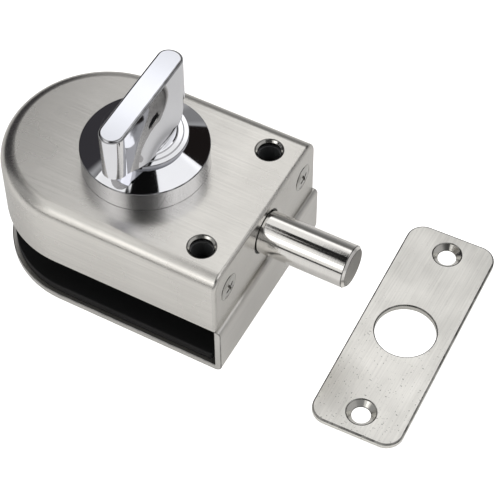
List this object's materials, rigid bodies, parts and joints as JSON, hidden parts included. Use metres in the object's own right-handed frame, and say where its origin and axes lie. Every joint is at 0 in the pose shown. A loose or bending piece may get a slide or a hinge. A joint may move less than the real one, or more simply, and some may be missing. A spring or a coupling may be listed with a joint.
{
  "type": "glass door floor lock",
  "caption": "D-shaped clamp-on lock for a frameless glass door: a thumb-turn throws a round bolt out of its flat end into a floor strike plate.",
  "frame": {"origin": "where the thumb-turn's axis meets the underside of the back plate", "axes": "+X the way the bolt is thrown, +Z out through the face with the thumb-turn, +Y across the lock"},
  "size_m": [0.1317, 0.0726, 0.0645],
  "materials": {
    "satin_stainless": "brushed along the bolt, satin",
    "strike_stainless": "brushed along its length",
    "polished_steel": "turned and polished",
    "chrome_plate": "bright chrome plate",
    "black_rubber": "matt",
    "cast_zinc": "as cast",
    "brass": "turned",
    "mild_steel": "zinc plated",
    "spring_steel": "blued",
    "screw_steel": "turned",
    "black_steel": "black oxide"
  },
  "bodies": {
    "lock_body": {"front_case": "satin_stainless", "case_posts": "mild_steel", "bracket": "satin_stainless", "guide_block": "cast_zinc", "tail_saddle": "cast_zinc", "friction_spring": "spring_steel", "back_pad": "black_rubber", "end_screws": "screw_steel", "block_screws": "screw_steel", "saddle_screws": "screw_steel", "case_screws": "screw_steel", "spindle_bush": "brass", "rose": "chrome_plate"},
    "turn": {"thumb_turn": "chrome_plate", "grub_screw": "black_steel", "spindle": "mild_steel", "thrust_washer": "brass", "pinion": "brass"},
    "bolt": {"bolt": "polished_steel", "rack_slide": "mild_steel", "rack_screws": "screw_steel"},
    "clamp": {"pressure_plate": "mild_steel", "front_pad": "black_rubber", "tip_clips": "mild_steel"},
    "near_screw": {"clamp_screw_near": "black_steel"},
    "far_screw": {"clamp_screw_far": "black_steel"},
    "strike": {"strike_plate": "strike_stainless"}
  },
  "joints": [
    {"name": "thumb_turn_spin", "type": "hinge", "parent": "lock_body", "child": "turn", "pos_m": [0, 0, 0.05], "axis": [0, 0, 1], "range_deg": [0, 180]},
    {"name": "bolt_slide", "type": "slide", "parent": "lock_body", "child": "bolt", "axis": [-1, 0, 0], "range_m": [0, 0.02513]},
    {"name": "clamp_slide", "type": "slide", "parent": "lock_body", "child": "clamp", "axis": [0, 0, -1], "range_m": [0, 0.004]},
    {"name": "near_screw_turn", "type": "hinge", "parent": "clamp", "child": "near_screw", "pos_m": [0.0275, -0.0185, 0.025], "axis": [0, 0, -1], "range_deg": [0, 1440]},
    {"name": "far_screw_turn", "type": "hinge", "parent": "clamp", "child": "far_screw", "pos_m": [0.0275, 0.0185, 0.025], "axis": [0, 0, -1], "range_deg": [0, 1440]},
    {"name": "strike_lift", "type": "slide", "parent": "lock_body", "child": "strike", "axis": [0, 0, 1], "range_m": [0, 0.05]}
  ],
  "couplings": [
    {"joint": "thumb_turn_spin", "follows": "bolt_slide", "rad_per_m": 125},
    {"joint": "near_screw_turn", "follows": "clamp_slide", "rad_per_m": 6283.2},
    {"joint": "far_screw_turn", "follows": "clamp_slide", "rad_per_m": 6283.2}
  ]
}
